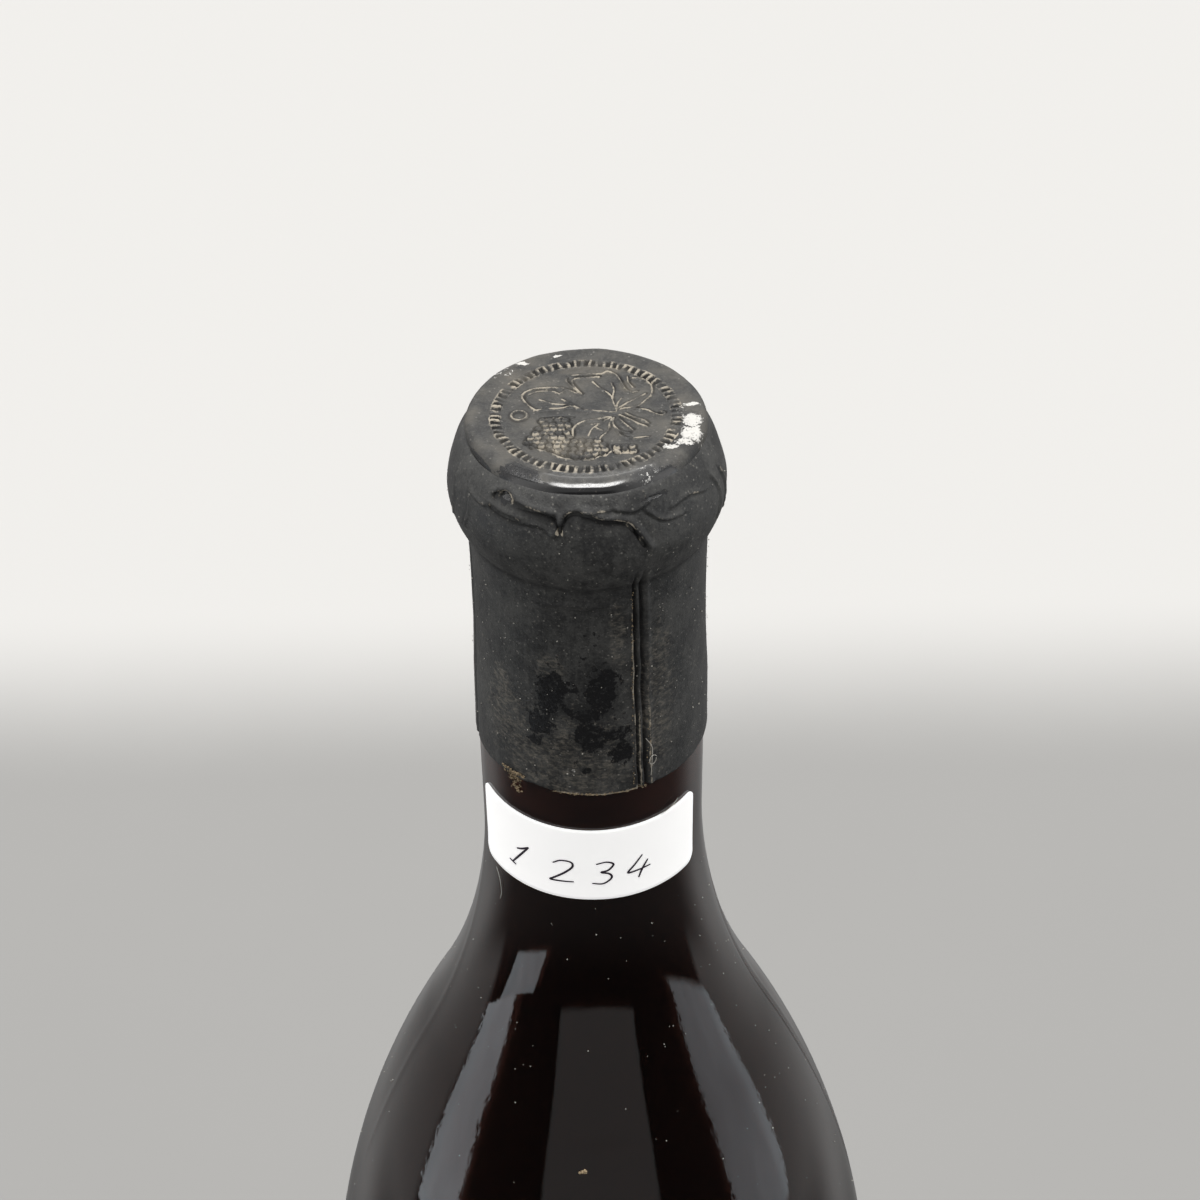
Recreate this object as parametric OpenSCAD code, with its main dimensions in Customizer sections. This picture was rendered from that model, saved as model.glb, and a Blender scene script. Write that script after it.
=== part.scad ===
// Wine bottle with sloping shoulders, full and sealed.
//
// The bottle stands on the XY plane with its axis along Z, and its front faces -Y.
// Turns about the axis are measured from the front, positive towards +X.
// Every curved outline comes from body_outline() and top_outline(), which give the
// outside of the glass moved inwards by a distance (or outwards by a negative one),
// so the wine, the capsule and the sticker always follow the glass.

/* [Bottle] */
// Height of the glass
glass_h = 296; // [260:1:360]
// Outside diameter of the body
body_d = 80; // [66:0.5:96]
// Outside diameter of the bare neck
neck_d = 26.8; // [22:0.1:33]
// Depth below the mouth where the neck starts to open out
flare_depth = 56.6; // [46:0.2:80]
// Radius of the hollow curve at the foot of the neck
flare_r = 90; // [60:1:120]
// Radius of the round curve of the shoulder
shoulder_r = 167; // [120:1:210]
// Thickness of the glass wall
wall = 3; // [2:0.1:4]
// Rounding between the body and the base
heel_r = 7; // [5:0.5:10]

/* [Base] */
// Thickness of the glass at the base
base_t = 4; // [3:0.1:6]
// Width of the flat ring that the bottle stands on
rest_w = 7; // [3:0.5:9]
// Depth of the hollow under the base
punt_depth = 18; // [10:0.5:24]

/* [Mouth and ring] */
// How much narrower the neck is under the ring than at the capsule's lower edge, each side
neck_taper = 0.45; // [0:0.05:1.5]
// How far the ring stands out from the neck
ring_out = 2.05; // [1:0.05:4]
// Radius of the ring's round section
ring_round = 7.6; // [5:0.1:10]
// How far the mouth's edge is set in from the ring
mouth_in = 2.4; // [1:0.1:4]
// Height of the upright edge between the ring and the mouth's rounding
lip_h = 0.36; // [0.1:0.02:2]
// Rounding of the mouth's outer edge
mouth_round = 1.4; // [0.5:0.1:3]

/* [Capsule] */
// Length of the capsule from its top disc to its lower edge
cap_len = 43.5; // [36:0.5:54]
// Thickness of the foil
foil_t = 0.35; // [0.2:0.05:0.6]
// Clearance between the foil and the glass
cap_gap = 0.05; // [0.02:0.01:0.1]

/* [Wine] */
// Height of the wine's surface above the lower edge of the capsule
level_cover = 3; // [1:0.5:10]
// Clearance between the wine and the glass
wine_gap = 0.1; // [0.05:0.01:0.2]

/* [Sticker] */
// Width of the sticker, measured round the neck
sticker_w = 31; // [20:0.5:38]
// Height of the sticker
sticker_h = 12; // [8:0.5:14]
// Bare glass between the capsule and the sticker
sticker_drop = 6.2; // [2:0.1:12]
// Rounding of the sticker's corners
sticker_round = 1.5; // [0.5:0.1:3]
// Turn of the sticker's middle from the front
sticker_turn = -5; // [-180:1:180]
// Thickness of the paper
paper_t = 0.15; // [0.1:0.01:0.3]
// Clearance between the paper and the glass
paper_gap = 0.03; // [0.02:0.01:0.05]

/* [Hidden] */

$fn = 96;
heel_steps = 8;
shoulder_steps = 20;
flare_steps = 14;
ring_steps = 14;
mouth_steps = 5;
sticker_steps = 8;
corner_steps = 5;
// How far outside the paper the arc of a corner starts, so that it crosses both edges
corner_over = 0.05;
// Turn that carries the X axis to the front
front = -90;

body_r = body_d / 2;
neck_r = neck_d / 2;
collar_r = neck_r - neck_taper;
ring_r = collar_r + ring_out;
mouth_r = ring_r - mouth_in;
ring_z = glass_h - mouth_round - lip_h - sqrt(pow(ring_round, 2) - pow(ring_round - mouth_in, 2));

// The neck opens out and closes over the shoulder in two arcs that touch at this lean
flare_z = glass_h - flare_depth;
lean = acos(1 - (body_r - neck_r) / (flare_r + shoulder_r));
shoulder_z = flare_z - (flare_r + shoulder_r) * sin(lean);

// The hollow under the base is part of a ball
punt_edge = body_r - heel_r - rest_w;
punt_r = (pow(punt_edge, 2) + pow(punt_depth, 2)) / (2 * punt_depth);
punt_z = punt_depth - punt_r;

cap_out = cap_gap + foil_t;
cap_z = glass_h + cap_out - cap_len;
wine_z = cap_z + level_cover;

sticker_top = cap_z - sticker_drop;
sticker_bottom = sticker_top - sticker_h;
sticker_half = sticker_w / neck_r / 2 * 180 / PI;
corner_turn = sticker_round / neck_r * 180 / PI;

// Points on an arc about a centre, from one angle to another
function arc(centre, r, from, to, steps) =
    [for (i = [0:steps]) let (a = from + (to - from) * i / steps) centre + r * [cos(a), sin(a)]];

// Outline of the heel, the body, the shoulder and the foot of the neck, moved inwards
function body_outline(inset) = concat(
    arc([body_r - heel_r, heel_r], heel_r - inset, -90, 0, heel_steps),
    arc([body_r - shoulder_r, shoulder_z], shoulder_r - inset, 0, lean, shoulder_steps),
    arc([neck_r + flare_r, flare_z], flare_r + inset, 180 + lean, 180, flare_steps)
);

// Angle at which the ring's round section reaches a radius
function ring_angle(r, inset) = acos((r - inset - ring_r + ring_round) / (ring_round - inset));

// Outline from the capsule's lower edge up over the ring and the mouth to the axis, moved inwards
function top_outline(inset) = concat(
    [[neck_r - inset, cap_z]],
    arc([ring_r - ring_round, ring_z], ring_round - inset,
        -ring_angle(collar_r, inset), ring_angle(mouth_r, inset), ring_steps),
    arc([mouth_r - mouth_round, glass_h - mouth_round], mouth_round - inset, 0, 90, mouth_steps),
    [[0, glass_h - inset]]
);

function reversed(list) = [for (i = [len(list) - 1:-1:0]) list[i]];

// Outside radius of the neck and its foot at a height, moved inwards
function neck_radius(z, inset) =
    z >= flare_z ? neck_r - inset
                 : neck_r + flare_r - sqrt(pow(flare_r + inset, 2) - pow(flare_z - z, 2));

// What the bottle holds: the space within the glass up to a level, moved inwards
module inside(level, inset) {
    difference() {
        rotate_extrude()
            polygon(concat(
                [[0, base_t + inset], [body_r - heel_r, base_t + inset]],
                [for (p = body_outline(wall + inset)) if (p[1] > base_t + inset) p],
                [[neck_r - wall - inset, level - inset], [0, level - inset]]
            ));
        translate([0, 0, punt_z])
            sphere(punt_r + base_t + inset);
    }
}

// Bottle: hollow below the wine's surface and closed above it
module glass() {
    color([0.13, 0.05, 0.04])
        difference() {
            rotate_extrude()
                polygon(concat([[0, 0]], body_outline(0), top_outline(0)));
            translate([0, 0, punt_z])
                sphere(punt_r);
            inside(wine_z, 0);
        }
}

module wine() {
    color([0.16, 0.02, 0.02])
        inside(wine_z, wine_gap);
}

// Capsule: foil pressed over the mouth, the ring and the neck
module capsule() {
    color([0.17, 0.17, 0.17])
        rotate_extrude()
            polygon(concat(top_outline(-cap_out), reversed(top_outline(-cap_gap))));
}

// What is cut off one corner of the paper, along the radius through that corner's centre
module corner_cut(side, end) {
    far = 2 * sticker_round;
    outline = concat(
        arc([corner_over, corner_over], sticker_round, 0, 90, corner_steps),
        [[corner_over, far], [far, far], [far, corner_over]]
    );
    z = end > 0 ? sticker_top - sticker_round : sticker_bottom + sticker_round;
    rotate([0, 0, side * (sticker_half - corner_turn)])
        translate([0, 0, z])
            rotate([0, 90, 0])
                linear_extrude(height = body_r)
                    polygon([for (p = outline) [-end * p[0], side * p[1]]]);
}

// Sticker: a strip of paper with round corners, bent round the neck
module sticker() {
    heights = [for (i = [0:sticker_steps]) sticker_bottom + sticker_h * i / sticker_steps];
    color([0.95, 0.95, 0.94])
        rotate([0, 0, front + sticker_turn])
            difference() {
                rotate([0, 0, -sticker_half])
                    rotate_extrude(angle = 2 * sticker_half)
                        polygon(concat(
                            [for (z = heights) [neck_radius(z, -paper_gap - paper_t), z]],
                            [for (z = reversed(heights)) [neck_radius(z, -paper_gap), z]]
                        ));
                for (side = [-1, 1], end = [-1, 1])
                    corner_cut(side, end);
            }
}

glass();
wine();
capsule();
sticker();
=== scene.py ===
"""Wine bottle, full and sealed, with a worn embossed capsule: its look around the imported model.

The bottle stands on the floor with its axis along Z, and its front faces -Y.
Turns about the axis are in degrees from the front, positive towards +X.
Drops are in millimetres below the top of the capsule. Every mesh is in metres.
"""

import math
import random

import bmesh
import bpy
import numpy as np
from mathutils import Matrix, Vector, noise


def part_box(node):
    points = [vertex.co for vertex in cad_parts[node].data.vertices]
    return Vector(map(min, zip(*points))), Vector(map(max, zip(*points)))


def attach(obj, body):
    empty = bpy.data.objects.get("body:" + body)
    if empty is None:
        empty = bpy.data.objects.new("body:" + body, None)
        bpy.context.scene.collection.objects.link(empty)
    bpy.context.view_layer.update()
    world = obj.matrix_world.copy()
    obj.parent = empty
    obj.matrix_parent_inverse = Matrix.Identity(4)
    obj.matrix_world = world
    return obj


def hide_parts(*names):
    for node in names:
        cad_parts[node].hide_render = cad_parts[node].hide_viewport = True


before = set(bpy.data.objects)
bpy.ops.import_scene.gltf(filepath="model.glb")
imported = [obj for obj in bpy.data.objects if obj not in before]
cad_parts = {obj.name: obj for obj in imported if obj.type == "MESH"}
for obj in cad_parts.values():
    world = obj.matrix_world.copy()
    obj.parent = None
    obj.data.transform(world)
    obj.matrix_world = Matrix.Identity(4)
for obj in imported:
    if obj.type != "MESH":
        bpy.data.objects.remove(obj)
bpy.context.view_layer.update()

bl_info = {
    "name": "Wine Bottle",
    "version": (1, 0, 0),
    "blender": (4, 5, 0),
    "location": "View3D > Sidebar > Wine Bottle",
    "description": "Builds a sealed wine bottle with a worn, embossed capsule around its packed model",
    "category": "Add Mesh",
}

MM = 0.001
GLASS_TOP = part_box("glass")[1]
WINE_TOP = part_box("wine")[1]
CAPSULE_FOOT, CAPSULE_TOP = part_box("capsule")
STICKER_FOOT, STICKER_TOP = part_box("sticker")
TOP_MM = CAPSULE_TOP[2] / MM
CAPSULE_LENGTH = (CAPSULE_TOP[2] - CAPSULE_FOOT[2]) / MM

# The disc on top of the capsule lies this far below the highest embossing, in millimetres
DISC_DROP = 0.2
DISC_RADIUS = 10.9
# Radius that turns on the capsule are measured at, in millimetres
GIRTH = 13.5

# Embossed vine leaf, in millimetres on the disc: X to the right, Y away from the front
LEAF_EDGES = (
    ((-5.4, 1.0), (-6.2, 1.9), (-6.9, 3.5), (-6.6, 4.4), (-5.2, 5.1), (-3.3, 5.2), (-2.3, 4.9),
     (-0.5, 3.6)),
    ((-6.2, 3.9), (-5.0, 4.5), (-3.4, 4.4), (-2.9, 4.0), (-2.2, 4.6)),
    ((-0.7, 4.2), (-1.6, 5.4), (-2.1, 6.5), (-1.7, 7.3), (0.2, 7.6), (1.8, 7.6), (2.4, 8.1), (3.4, 7.3),
     (3.9, 6.0), (4.4, 4.5), (5.1, 3.9), (5.6, 4.2)),
    ((-0.4, 3.8), (-1.1, 5.1), (-1.5, 6.2), (-1.1, 6.8), (0.4, 6.9), (1.5, 7.0)),
    ((4.6, 7.0), (4.7, 5.8), (5.2, 4.8)),
    ((5.2, 6.7), (6.4, 6.4), (7.2, 5.1), (7.1, 3.5), (6.4, 2.4), (5.5, 1.4), (3.8, 1.0)),
    ((3.6, 1.2), (4.4, 2.0), (5.6, 2.9), (6.5, 3.7)),
    ((-5.6, 0.9), (-4.2, 1.2), (-2.6, 1.3), (-1.6, 1.6), (-0.6, 1.1)),
)
LEAF_VEINS = (
    ((3.2, 0.4), (1.2, 0.7), (-0.3, 1.0), (-1.4, 1.9), (-2.6, 3.0)),
    ((-1.8, 1.9), (-3.6, 2.2), (-5.0, 3.0)),
    ((3.3, 0.6), (3.0, 2.2), (2.7, 3.6), (1.5, 5.0), (0.8, 6.2)),
    ((2.9, 3.2), (3.1, 4.6), (2.8, 5.9)),
    ((3.3, 0.7), (3.4, 1.9), (3.9, 3.0)),
)
SMALL_LEAF = (
    ((-1.4, -3.8), (-1.4, -2.5), (-0.6, -1.4), (0.9, -0.9), (2.7, -0.5), (2.5, -1.6), (2.3, -3.0),
     (1.4, -4.2)),
    ((2.7, -0.5), (1.5, -1.6), (0.6, -2.6), (0.2, -3.8)),
    ((1.5, -1.6), (0.5, -1.8)),
    ((0.9, -2.3), (1.7, -2.9)),
    ((0.6, -1.0), (2.0, -0.8)),
)
TENDRILS = (
    ((3.6, -0.1), (4.6, -0.9), (5.6, -1.8), (6.5, -2.4)),
    ((4.2, 0.2), (5.2, -0.6), (6.3, -1.3), (6.7, -1.9)),
    ((5.5, 0.9), (6.6, 0.7), (7.4, 0.0), (8.2, -0.4), (8.5, 0.2), (7.9, 0.4)),
    ((3.2, -2.6), (3.6, -3.8), (4.6, -4.4), (5.6, -4.3), (6.6, -4.2)),
    ((3.5, -0.8), (4.3, -2.0), (5.0, -3.0)),
    ((3.0, -0.6), (2.9, -1.8), (3.6, -3.0), (4.6, -3.5)),
)
# Rows of grapes: height on the disc, and the left and right end of the row
BUNCH_ROWS = (
    (-0.9, -4.7, -1.5), (-1.65, -4.4, -1.2), (-2.4, -5.1, -2.0), (-3.15, -5.4, -1.5), (-3.9, -5.9, -1.0),
    (-4.65, -6.2, 1.2), (-5.4, -5.6, 2.1), (-6.15, -3.8, 2.4), (-6.9, -2.4, 2.0), (-7.55, -1.2, 1.0),
    (-5.7, 3.2, 5.0), (-6.45, 3.3, 5.2),
)
BUNCH_EDGES = (
    ((-6.6, -4.5), (-5.6, -5.9), (-4.0, -6.7), (-2.8, -7.6), (-1.2, -8.1), (0.6, -7.9), (1.8, -7.4),
     (2.6, -6.7)),
    ((-4.9, -0.6), (-3.0, -0.4), (-1.4, -0.5)),
    ((2.9, -6.3), (3.8, -6.9), (5.0, -6.8)),
)
BEAD_RADIUS = 0.42
BEAD_STEP = 0.82
# Rounded rim of the disc: its drop, its radius, how much higher it is at the front, and the disc's setback
RIM_DROP = 0.05
RIM_RADIUS = 13.1
RIM_LIFT = 0.35
DISC_SETBACK = 0.32
# Milled ring round the embossing
TEETH = 74
TEETH_INNER = 9.25
TEETH_OUTER = 10.3
# Plain circle beside the leaf
DOT_PLACE = (-7.2, 0.1)
DOT_RADIUS = 0.85

# Folds pressed into the foil of the ring: turn in degrees and drop in millimetres
FOLDS = (
    ((-43, 2.9), (-38, 2.3), (-33, 2.7), (-26, 3.1), (-19, 3.1), (-14, 3.4), (-11.5, 4.5)),
    ((-11.5, 4.5), (-9, 3.2), (-5, 2.8), (0, 3.1), (6, 3.6), (13, 3.8), (17, 4.2), (20, 5.4), (23, 6.9)),
    ((-44, 4.1), (-36, 4.3), (-30, 4.3)),
)
# Shallower creases, given in the same way
CREASES = (
    ((-2, 2.5), (4, 2.55), (9, 2.6)),
    ((-1, 2.6), (5, 3.0), (10, 3.2)),
    ((-34, 2.4), (-24, 2.6), (-15, 2.9)),
    ((-30, 4.4), (-20, 4.2), (-15, 4.9)),
    ((12, 2.6), (20, 3.0), (27, 2.6)),
    ((-62, 3.4), (-55, 4.2), (-48, 4.3)),
    ((38, 3.8), (48, 3.6), (58, 4.4)),
    ((26, 3.4), (33, 4.6), (42, 5.0)),
    ((-72, 4.0), (-70, 6.5), (-74, 9.5)),
    ((-60, 3.2), (-57, 6.0), (-60, 8.6)),
    ((66, 3.8), (70, 6.4), (68, 9.4)),
    ((76, 4.4), (79, 7.4), (77, 10.0)),
    ((130, 3.2), (142, 3.8), (150, 5.6)),
    ((-150, 3.1), (-140, 4.3), (-131, 4.2)),
)
# Glossy black patches on the skirt: turn, drop, half width in degrees and half height in millimetres
BLACK_SPOTS = (
    (-20, 29.0, 7.0, 3.4), (-12, 29.4, 6.0, 2.6), (4, 28.6, 7.5, 4.2), (8, 26.4, 4.0, 2.0),
    (-25, 33.6, 7.0, 1.6), (-3, 31.4, 8.0, 1.4), (-1, 34.6, 8.5, 2.4), (10, 34.4, 7.5, 1.0),
    (14, 37.2, 5.5, 1.6), (-28, 36.2, 4.2, 0.8), (-3.5, 39.7, 3.0, 0.5),
)
# Places where only flecks of the black paint are left
FLECK_SPOTS = (
    (2, 16.6, 10.0, 2.0), (0, 20.6, 7.0, 2.6), (-2, 23.6, 10.0, 1.6), (-16, 25.0, 12.0, 3.0),
    (12, 27.0, 5.0, 3.0), (-32, 32.0, 10.0, 3.0), (14, 34.0, 7.0, 4.0), (-10, 38.0, 14.0, 2.4),
    (-22, 40.6, 12.0, 1.4), (150, 30.0, 16.0, 7.0), (-110, 24.0, 12.0, 6.0), (95, 38.0, 9.0, 3.0),
    (-165, 38.5, 12.0, 2.5),
)
# Gaps in the black patches
PALE_SPOTS = (
    (-9, 29.3, 4.0, 1.2), (-14, 33.5, 3.6, 1.4), (9, 32.4, 3.6, 1.2),
)
# Rubbed places on the skirt
SCUFF_SPOTS = (
    (-46, 34.5, 17.0, 6.5), (-34, 39.5, 16.0, 4.6), (-20, 25.0, 10.0, 2.6), (-48, 30.0, 9.0, 3.0),
    (-12, 40.5, 14.0, 2.6), (13, 20.0, 6.0, 6.0), (-14, 38.0, 50.0, 9.0), (34, 30.0, 12.0, 14.0),
    (140, 36.0, 22.0, 6.0), (-130, 30.0, 18.0, 7.0),
)
# Worn places on the ring and the skirt where metal shows
SKIRT_BARE_SPOTS = ((-9, 39.9, 1.6, 0.25), (-170, 16, 6, 1.5), (110, 4.2, 5, 0.8))
# Black paint just under the rim and on the rim's side: turn, drop, half width and half height. The first rim
# spot, across the front under the highlight, is a painted dark reflection on the glossy rim.
RING_BLACK_SPOTS = ((-37, 2.6, 6, 0.6), (30, 2.4, 10, 0.3))
RIM_BLACK_SPOTS = ((0, 1.0, 46, 0.8), (-34, 0.6, 13, 0.8), (36, 0.7, 12, 0.6), (-62, 1.1, 12, 0.5))
# Places on the disc: X, Y, half width and half height in millimetres
DISC_WARM_SPOTS = ((0.5, 8.7, 6.0, 1.5), (-7.0, 8.0, 3.0, 2.0), (4.5, 5.6, 1.6, 1.8), (-2.0, -5.0, 5.0, 3.0))
DISC_BARE_SPOTS = (
    (11.4, -1.0, 1.0, 1.4), (11.2, -3.3, 1.1, 1.5), (10.4, -4.8, 1.0, 0.7), (-6.9, 10.2, 0.7, 0.35),
    (-3.2, 11.6, 0.9, 0.18), (11.4, 2.0, 0.9, 0.35), (9.0, -5.6, 0.9, 0.4),
)
DISC_FLECK_SPOTS = ((6.2, -10.0, 1.3, 1.6), (-9.0, 8.6, 1.6, 1.4), (10.2, 0.6, 0.7, 1.8))

# Outline of the foil over the ring and down the skirt: radius and drop
RING_OUTLINE = (
    (12.65, 1.25), (13.05, 1.5), (13.7, 2.3), (14.4, 3.75), (14.95, 5.4), (15.3, 7.2), (15.28, 8.6),
    (14.95, 10.2), (14.3, 12.0), (13.75, 13.0), (13.44, 13.8), (13.37, 15.2),
)
SKIRT_OUTLINE = (
    (13.37, 15.2), (13.33, 20), (13.36, 27), (13.5, 31.5), (13.66, 35), (13.72, 40),
    (13.78, CAPSULE_LENGTH),
)
# Turns of the foil's overlap at the front, of the brown line on its left and of the glass's mould seams
SEAM_TURN = 22.8
BROWN_LINE_TURN = -77
MOULD_SEAMS = (-83, 97)

# Steps round each turned piece, and how far its corners crowd together, in radians
GLASS_STEPS = 288
WINE_STEPS = 192
FOIL_STEPS = 480
GLASS_CROWDING = 0.35
FOIL_CROWDING = 0.4
# The wine's surface, and how far the wine reaches into the glass, in metres
SURFACE = WINE_TOP[2] + 0.0001
WINE_REACH = 0.00015

# Numbers of crumbs: the clump at the lower edge, in the seam, along the edge, by the seam, on the glass
CLUMP_CRUMBS = 170
SEAM_CRUMBS = 80
EDGE_CRUMBS = 150
STRAY_CRUMBS = 26
GLASS_CRUMBS = 9
# Numbers of dust specks
GLASS_SPECKS = 340
CAPSULE_SPECKS = 330
# Radius of the foil that dust lies on, at a few drops
DUST_DROPS = (3, 5.4, 8, 10.2, 13.6, 27, 35, 44)
DUST_RADII = (13.9, 15.0, 15.4, 15.0, 13.5, 13.45, 13.72, 13.82)

# Camera: place in metres, lens in millimetres, and pan, tilt and roll in degrees
CAMERA_PLACE = (0, -0.20748, 0.44516)
CAMERA_LENS = 71.14
CAMERA_PAN = -0.335
CAMERA_TILT = 40.096
CAMERA_ROLL = -0.857

# Generic digits written by hand on the sticker: millimetres across and up from the middle of each digit
DIGIT_STROKES = (
    (((-0.3, 1.0), (0.4, 1.5), (1.2, 2.3)), ((1.2, 2.3), (0.1, 0.1), (-1.0, -2.1)),
     ((-1.4, -1.9), (-0.5, -2.2))),
    (((-1.0, 1.2), (-0.2, 1.9), (0.8, 1.9), (1.0, 1.1), (0.2, -0.2), (-1.0, -1.6), (-1.3, -2.0),
      (-0.3, -1.9), (1.1, -1.7)),),
    (((-0.7, 1.7), (0.3, 2.0), (1.0, 1.5), (0.5, 0.5), (-0.2, 0.2), (0.6, -0.2), (0.8, -1.0), (0.0, -1.9),
      (-1.1, -1.8)),),
    (((0.3, 2.0), (-0.5, 0.6), (-1.2, -0.6), (-0.2, -0.6), (1.2, -0.4)),
     ((0.9, 0.8), (0.3, -0.6), (-0.1, -2.0))),
)
DIGIT_PLACES = (-8.4, -2.6, 2.2, 6.6)


class WineBottleSizes(bpy.types.PropertyGroup):
    """Sizes that the pieces are made to."""

    body_radius: bpy.props.FloatProperty(
        name="Body radius", description="Outside radius of the body", default=GLASS_TOP[0], unit="LENGTH")
    neck_radius: bpy.props.FloatProperty(
        name="Neck radius", description="Outside radius of the bare neck", default=0.0134, unit="LENGTH")
    flare_depth: bpy.props.FloatProperty(
        name="Flare depth", description="Depth below the mouth where the neck starts to open out",
        default=0.0566, unit="LENGTH")
    flare_radius: bpy.props.FloatProperty(
        name="Flare radius", description="Radius of the hollow curve at the foot of the neck",
        default=0.09, unit="LENGTH")
    shoulder_radius: bpy.props.FloatProperty(
        name="Shoulder radius", description="Radius of the round curve of the shoulder",
        default=0.167, unit="LENGTH")
    heel_radius: bpy.props.FloatProperty(
        name="Heel radius", description="Rounding between the body and the base",
        default=0.007, unit="LENGTH")
    wall: bpy.props.FloatProperty(
        name="Wall", description="Thickness of the glass wall", default=0.003, unit="LENGTH")
    base_thickness: bpy.props.FloatProperty(
        name="Base thickness", description="Thickness of the glass at the base",
        default=0.004, unit="LENGTH")
    rest_width: bpy.props.FloatProperty(
        name="Rest width", description="Width of the flat ring that the bottle stands on",
        default=0.007, unit="LENGTH")
    punt_depth: bpy.props.FloatProperty(
        name="Punt depth", description="Depth of the hollow under the base", default=0.018, unit="LENGTH")
    foil: bpy.props.FloatProperty(
        name="Foil", description="Thickness of the capsule", default=0.0003, unit="LENGTH")
    emboss: bpy.props.FloatProperty(
        name="Emboss", description="Height of the embossed lines on the disc",
        default=0.0002, unit="LENGTH")
    sticker_width: bpy.props.FloatProperty(
        name="Sticker width", description="Width of the sticker round the neck",
        default=0.031, unit="LENGTH")
    sticker_corner: bpy.props.FloatProperty(
        name="Sticker corner", description="Rounding of the sticker's corners",
        default=0.0015, unit="LENGTH")
    sticker_turn: bpy.props.FloatProperty(
        name="Sticker turn", description="Turn of the sticker's middle from the front",
        default=math.radians(-5), subtype="ANGLE")
    paper: bpy.props.FloatProperty(
        name="Paper", description="Thickness of the sticker", default=0.00015, unit="LENGTH")
    pen: bpy.props.FloatProperty(
        name="Pen", description="Width of a pen stroke", default=0.0003, unit="LENGTH")
    hair: bpy.props.FloatProperty(
        name="Hair", description="Thickness of a hair or fibre", default=0.00008, unit="LENGTH")


class WineBottleColours(bpy.types.PropertyGroup):
    """Colours of the finishes."""

    glass: bpy.props.FloatVectorProperty(
        name="Glass", description="Tint of the glass", default=(0.25, 0.09, 0.06), subtype="COLOR",
        min=0, max=1)
    wine: bpy.props.FloatVectorProperty(
        name="Wine", description="Colour that the wine lets through", default=(0.5, 0.1, 0.07),
        subtype="COLOR", min=0, max=1)
    foil: bpy.props.FloatVectorProperty(
        name="Foil", description="Worn paint of the capsule", default=(0.014, 0.0143, 0.0147),
        subtype="COLOR", min=0, max=1)
    foil_dusty: bpy.props.FloatVectorProperty(
        name="Dusty foil", description="Paint of the capsule where dust has settled",
        default=(0.06, 0.06, 0.0575), subtype="COLOR", min=0, max=1)
    # Also the colour of the painted shade in grooves and folds, and of the painted dark reflection on the
    # rim.
    foil_black: bpy.props.FloatVectorProperty(
        name="Black foil", description="Glossy paint that is still whole", default=(0.0035, 0.0035, 0.0045),
        subtype="COLOR", min=0, max=1)
    bare_metal: bpy.props.FloatVectorProperty(
        name="Bare metal", description="Foil with its paint gone", default=(0.72, 0.71, 0.68),
        subtype="COLOR", min=0, max=1)
    # Also the colour of the painted highlight on the embossed lines and on the lips of the folds.
    grime_and_highlight: bpy.props.FloatVectorProperty(
        name="Grime", description="Dirt in the embossing and along the seam", default=(0.42, 0.375, 0.3),
        subtype="COLOR", min=0, max=1)
    rust: bpy.props.FloatVectorProperty(
        name="Rust", description="Brown stain along the skirt", default=(0.13, 0.05, 0.035),
        subtype="COLOR", min=0, max=1)
    paper: bpy.props.FloatVectorProperty(
        name="Paper", description="White of the sticker", default=(0.96, 0.96, 0.96), subtype="COLOR",
        min=0, max=1)
    ink: bpy.props.FloatVectorProperty(
        name="Ink", description="Pen strokes", default=(0.03, 0.018, 0.035), subtype="COLOR", min=0, max=1)
    grit: bpy.props.FloatVectorProperty(
        name="Grit", description="Crumbs of dried dirt", default=(0.38, 0.29, 0.18), subtype="COLOR",
        min=0, max=1)
    dust: bpy.props.FloatVectorProperty(
        name="Dust", description="Dust specks and fibres", default=(0.62, 0.6, 0.54), subtype="COLOR",
        min=0, max=1)
    floor: bpy.props.FloatVectorProperty(
        name="Floor", description="Colour of the plain floor", default=(0.6, 0.596, 0.585),
        subtype="COLOR", min=0, max=1)


class Value:
    """One output of a node. Arithmetic on it adds Math nodes."""

    def __init__(self, nodes, socket):
        self.nodes = nodes
        self.socket = socket

    def math(self, operation, *terms):
        """This value put through a Math node with other terms."""
        inputs = dict(enumerate((self, *terms)))
        return self.nodes.add("ShaderNodeMath", {"operation": operation}, inputs)

    def ramp(self, low, high):
        """Rises smoothly from 0 where this value is low to 1 where it is high."""
        settings = {"interpolation_type": "SMOOTHSTEP"}
        inputs = {"Value": self, "From Min": low, "From Max": high}
        return self.nodes.add("ShaderNodeMapRange", settings, inputs)

    def between(self, low, high, soft):
        """1 from low to high, with soft edges."""
        return self.ramp(low - soft, low + soft) * (1 - self.ramp(high - soft, high + soft))

    def most(self, other):
        """The greater of this value and another."""
        return self.math("MAXIMUM", other)

    def __add__(self, other):
        return self.math("ADD", other)

    def __radd__(self, other):
        return self.math("ADD", other)

    def __sub__(self, other):
        return self.math("SUBTRACT", other)

    def __rsub__(self, other):
        return self.nodes.add("ShaderNodeMath", {"operation": "SUBTRACT"}, {0: other, 1: self})

    def __mul__(self, other):
        return self.math("MULTIPLY", other)

    def __rmul__(self, other):
        return self.math("MULTIPLY", other)


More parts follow.
